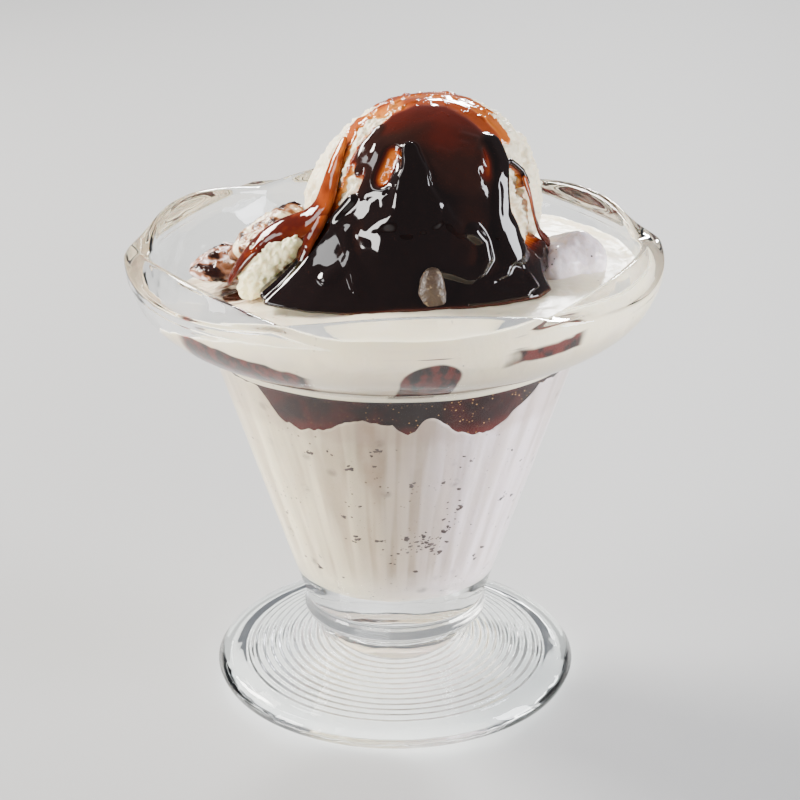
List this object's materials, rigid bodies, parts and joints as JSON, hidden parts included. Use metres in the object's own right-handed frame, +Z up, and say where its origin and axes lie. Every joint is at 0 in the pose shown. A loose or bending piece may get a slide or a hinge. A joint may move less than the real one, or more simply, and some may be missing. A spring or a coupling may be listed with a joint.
{
  "type": "ice cream sundae in a footed glass dish",
  "caption": "Ice cream sundae with hot fudge in a footed, scalloped clear glass dish: layered cone, flared cup and a fudge-coated scoop on top.",
  "frame": {"origin": "centre of the foot on the surface that the dish stands on", "axes": "+Z up along the dish's axis, the front of the sundae faces -Y, +X to the right seen from the front"},
  "size_m": [0.0948, 0.0944, 0.111],
  "materials": {
    "clear_glass": "clear pressed glass, polished",
    "vanilla_ice_cream": "soft, faintly moist ice cream with dark specks",
    "dark_fudge": "wet glossy hot fudge, amber where it is thin"
  },
  "bodies": {
    "root": {"glass_dish": "clear_glass", "ice_cream_lower": "vanilla_ice_cream", "fudge_layer": "dark_fudge", "ice_cream_upper": "vanilla_ice_cream", "ice_cream_scoop": "vanilla_ice_cream", "hot_fudge": "dark_fudge", "ice_cream_chunk": "vanilla_ice_cream", "ice_cream_fold": "vanilla_ice_cream", "ice_cream_swirl": "vanilla_ice_cream", "ice_cream_lump": "vanilla_ice_cream", "ice_cream_nub": "vanilla_ice_cream"}
  },
  "joints": []
}
